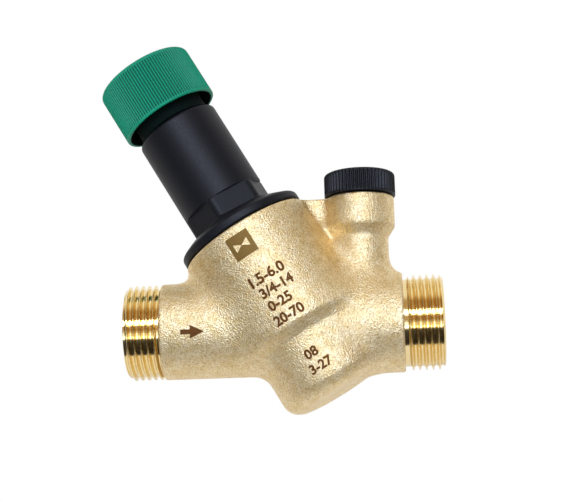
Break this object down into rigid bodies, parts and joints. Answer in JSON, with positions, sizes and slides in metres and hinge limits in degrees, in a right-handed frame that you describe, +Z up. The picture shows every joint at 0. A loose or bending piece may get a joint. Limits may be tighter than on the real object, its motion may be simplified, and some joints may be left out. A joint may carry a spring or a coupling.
{
  "type": "pressure reducing valve",
  "caption": "Brass Y-pattern pressure reducing valve with threaded ends, tilted black spring bonnet with hexagon, green ribbed setting knob and a plugged gauge branch.",
  "frame": {"origin": "middle of the inlet end face, on the pipe axis", "axes": "+X along the pipe in the flow direction, +Z up, towards the gauge branch and the setting knob"},
  "size_m": [0.0951, 0.0374, 0.1067],
  "materials": {
    "blasted_brass": "forged and shot-blasted, fine satin grain, threads turned bright",
    "turned_brass": "turned, bright",
    "bonnet_plastic": "moulded glass-filled nylon, satin",
    "knob_plastic": "moulded, satin, fine ribs",
    "plug_plastic": "moulded, satin, ribbed",
    "cartridge_plastic": "moulded acetal, satin",
    "rubber": "moulded EPDM",
    "steel": "stainless, drawn or stamped"
  },
  "bodies": {
    "housing": {"housing": "blasted_brass", "spring_bonnet": "bonnet_plastic", "bonnet_o_ring": "rubber", "thrust_washer": "steel", "adjusting_spring": "steel", "slip_ring": "cartridge_plastic", "diaphragm": "rubber", "cartridge": "cartridge_plastic", "strainer": "steel", "seat_sleeve": "turned_brass", "seat_o_ring": "rubber"},
    "knob": {"adjusting_knob": "knob_plastic", "knob_screw": "steel", "adjusting_spindle": "turned_brass"},
    "nut": {"spring_nut": "turned_brass"},
    "valve": {"valve_stem": "turned_brass", "piston_o_ring": "rubber", "disc_seal": "rubber", "valve_disc": "turned_brass", "disc_nut": "steel", "stem_nut": "steel", "spring_plate": "steel", "diaphragm_support": "steel"},
    "plug_seal": {"gauge_plug_o_ring": "rubber"},
    "plug": {"gauge_plug": "plug_plastic"}
  },
  "joints": [
    {"name": "knob_turn", "type": "hinge", "parent": "housing", "child": "knob", "pos_m": [0.0484, 0, 0], "axis": [0.5, 0, -0.866], "range_deg": [0, 2160]},
    {"name": "nut_travel", "type": "slide", "parent": "housing", "child": "nut", "axis": [0.5, 0, -0.866], "range_m": [0, 0.0075], "deforming": ["adjusting_spring"]},
    {"name": "valve_lift", "type": "slide", "parent": "housing", "child": "valve", "axis": [0.5, 0, -0.866], "range_m": [0, 0.0018], "stiffness_N_per_m": 3000, "deforming": ["diaphragm"]},
    {"name": "plug_lift", "type": "slide", "parent": "housing", "child": "plug_seal", "axis": [0, 0, 1], "range_m": [0, 0.008]},
    {"name": "plug_turn", "type": "hinge", "parent": "plug_seal", "child": "plug", "pos_m": [0.0659, 0, 0.0359], "axis": [0, 0, 1], "range_deg": [0, 2160]}
  ],
  "couplings": [
    {"joint": "knob_turn", "follows": "nut_travel", "rad_per_m": 5026.5},
    {"joint": "plug_turn", "follows": "plug_lift", "rad_per_m": 4699.4}
  ]
}
